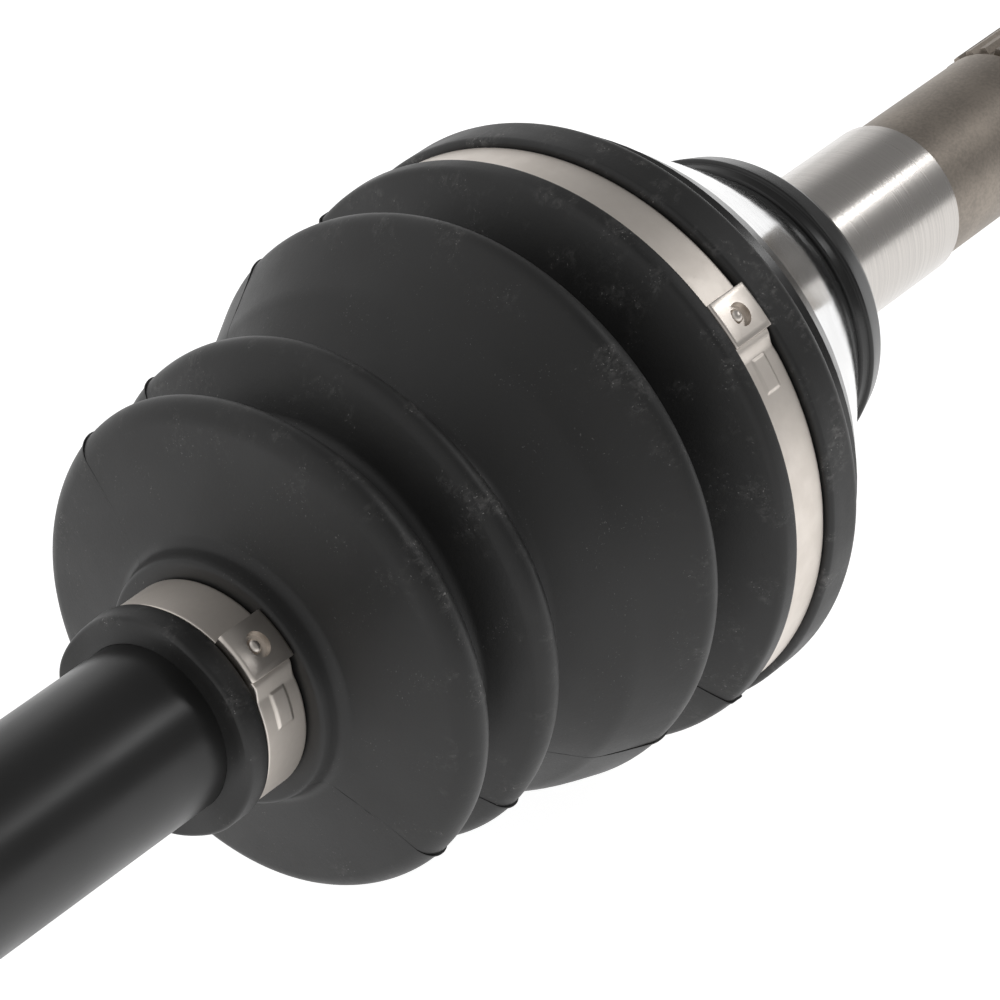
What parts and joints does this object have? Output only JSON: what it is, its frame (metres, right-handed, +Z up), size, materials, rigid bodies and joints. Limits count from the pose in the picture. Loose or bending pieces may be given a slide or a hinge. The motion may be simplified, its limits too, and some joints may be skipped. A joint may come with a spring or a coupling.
{
  "type": "cv axle",
  "caption": "Front drive half-shaft: steel bar with a booted fixed ball joint and splined stub at the wheel end and a booted plunging tripod joint at the differential end.",
  "frame": {"origin": "on the shaft axis, at the middle of the bar, half way between the two joint centres", "axes": "+X along the shaft towards the wheel end, +Z up when the shaft lies on a bench"},
  "size_m": [0.6852, 0.0904, 0.0904],
  "materials": {
    "bar_finish": "satin black coating with fine circumferential brush marks",
    "boot_rubber": "matte charcoal moulded rubber, dusty white scuffs",
    "clamp_steel": "plain stainless band, soft cold-rolled sheen",
    "bell_steel": "turned cone and ground journal, black painted rim",
    "housing_steel": "black painted housing, machined stub",
    "shield_finish": "semi-gloss black",
    "ball_steel": "polished bearing steel",
    "roller_steel": "ground bearing steel",
    "race_steel": "hardened and ground",
    "ring_steel": "phosphated spring steel"
  },
  "bodies": {
    "bar": {"bar_shaft": "bar_finish", "outboard_race_ring": "ring_steel", "tripod_ring": "ring_steel", "outboard_inner_race": "race_steel", "tripod_spider": "race_steel", "needle_ring_1": "race_steel", "needle_ring_2": "race_steel", "needle_ring_3": "race_steel", "trunnion_ring_1": "ring_steel", "trunnion_ring_2": "ring_steel", "trunnion_ring_3": "ring_steel", "outboard_boot": "boot_rubber", "outboard_small_band": "clamp_steel", "outboard_small_buckle": "clamp_steel", "inboard_small_band": "clamp_steel", "inboard_small_buckle": "clamp_steel"},
    "wheel_joint": {"outboard_bell": "bell_steel", "outboard_dust_shield": "shield_finish", "outboard_large_band": "clamp_steel", "outboard_large_buckle": "clamp_steel"},
    "ball_set": {"outboard_cage": "race_steel", "outboard_ball_1": "ball_steel", "outboard_ball_2": "ball_steel", "outboard_ball_3": "ball_steel", "outboard_ball_4": "ball_steel", "outboard_ball_5": "ball_steel", "outboard_ball_6": "ball_steel"},
    "inner_boot_body": {"inboard_boot": "boot_rubber"},
    "differential_joint": {"inboard_housing": "housing_steel", "inboard_stub_ring": "ring_steel", "inboard_dust_shield": "shield_finish", "inboard_large_band": "clamp_steel", "inboard_large_buckle": "clamp_steel"},
    "roller_body_1": {"roller_1": "roller_steel"},
    "roller_body_2": {"roller_2": "roller_steel"},
    "roller_body_3": {"roller_3": "roller_steel"}
  },
  "joints": [
    {"name": "outboard_angle", "type": "hinge", "parent": "bar", "child": "wheel_joint", "pos_m": [0.2, 0, 0], "axis": [0, 0, 1], "range_deg": [-42, 42], "deforming": ["outboard_boot"]},
    {"name": "ball_set_angle", "type": "hinge", "parent": "bar", "child": "ball_set", "pos_m": [0.2, 0, 0], "axis": [0, 0, 1], "range_deg": [-21.5, 21.5]},
    {"name": "inboard_angle", "type": "hinge", "parent": "bar", "child": "inner_boot_body", "pos_m": [-0.2, 0, 0], "axis": [0, 0, 1], "range_deg": [-20, 20], "deforming": ["inboard_boot"]},
    {"name": "inboard_plunge", "type": "slide", "parent": "inner_boot_body", "child": "differential_joint", "axis": [1, 0, 0], "range_m": [-0.012, 0.012], "deforming": ["inboard_boot"]},
    {"name": "roller_1_spin", "type": "hinge", "parent": "bar", "child": "roller_body_1", "pos_m": [-0.2, 0, 0], "axis": [0, 0, 1], "range_deg": [-46, 46]},
    {"name": "roller_2_spin", "type": "hinge", "parent": "bar", "child": "roller_body_2", "pos_m": [-0.2, 0, 0], "axis": [0, -0.866, -0.5], "range_deg": [-46, 46]},
    {"name": "roller_3_spin", "type": "hinge", "parent": "bar", "child": "roller_body_3", "pos_m": [-0.2, 0, 0], "axis": [0, 0.866, -0.5], "range_deg": [-46, 46]}
  ],
  "couplings": [
    {"joint": "ball_set_angle", "follows": "outboard_angle", "ratio": 0.5},
    {"joint": "roller_1_spin", "follows": "inboard_plunge", "rad_per_m": 66.667},
    {"joint": "roller_2_spin", "follows": "inboard_plunge", "rad_per_m": 66.667},
    {"joint": "roller_3_spin", "follows": "inboard_plunge", "rad_per_m": 66.667}
  ]
}
